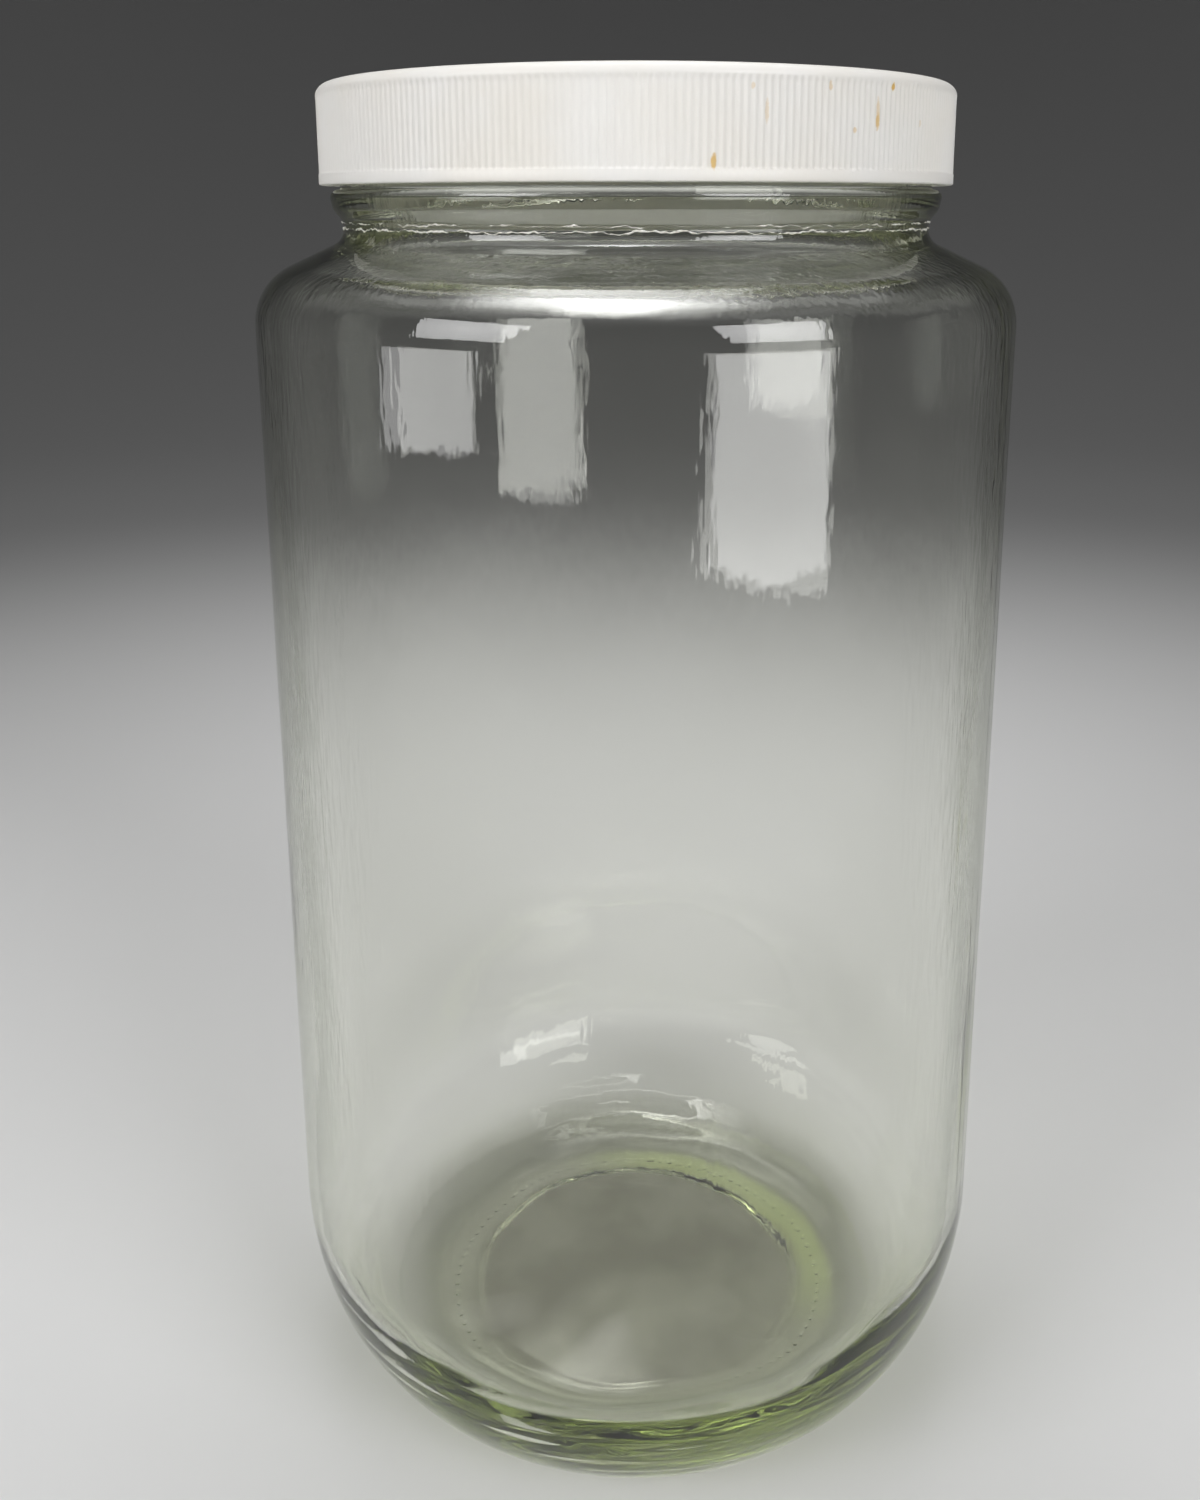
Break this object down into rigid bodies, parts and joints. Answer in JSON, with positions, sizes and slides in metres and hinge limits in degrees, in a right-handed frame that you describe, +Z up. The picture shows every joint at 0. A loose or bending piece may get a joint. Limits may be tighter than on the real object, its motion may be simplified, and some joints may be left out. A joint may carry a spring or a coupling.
{
  "type": "glass canister",
  "caption": "Wide-mouth clear glass storage jar with a rounded shoulder and heel, closed by a white finely ribbed plastic screw lid over a flat sealing liner.",
  "frame": {"origin": "on the jar's axis, on the plane that its foot ring stands on", "axes": "+Z up along the jar's axis; the jar is round, and the low end of the neck's thread starts at +X"},
  "size_m": [0.1506, 0.1506, 0.2754],
  "materials": {
    "clear_glass": "clear, faintly green where thick",
    "liner_foam": "soft white foam",
    "white_plastic": "warm white, satin, slightly stained in the ribs"
  },
  "bodies": {
    "jar": {"glass_jar": "clear_glass"},
    "liner": {"liner": "liner_foam"},
    "lid": {"screw_lid": "white_plastic"}
  },
  "joints": [
    {"name": "lid_rise", "type": "slide", "parent": "jar", "child": "liner", "axis": [0, 0, 1], "range_m": [0, 0.0254]},
    {"name": "lid_turn", "type": "hinge", "parent": "liner", "child": "lid", "pos_m": [0, 0, 0.2726], "axis": [0, 0, 1], "range_deg": [0, 1800]}
  ],
  "couplings": [
    {"joint": "lid_rise", "follows": "lid_turn", "m_per_rad": 0.0008085}
  ]
}
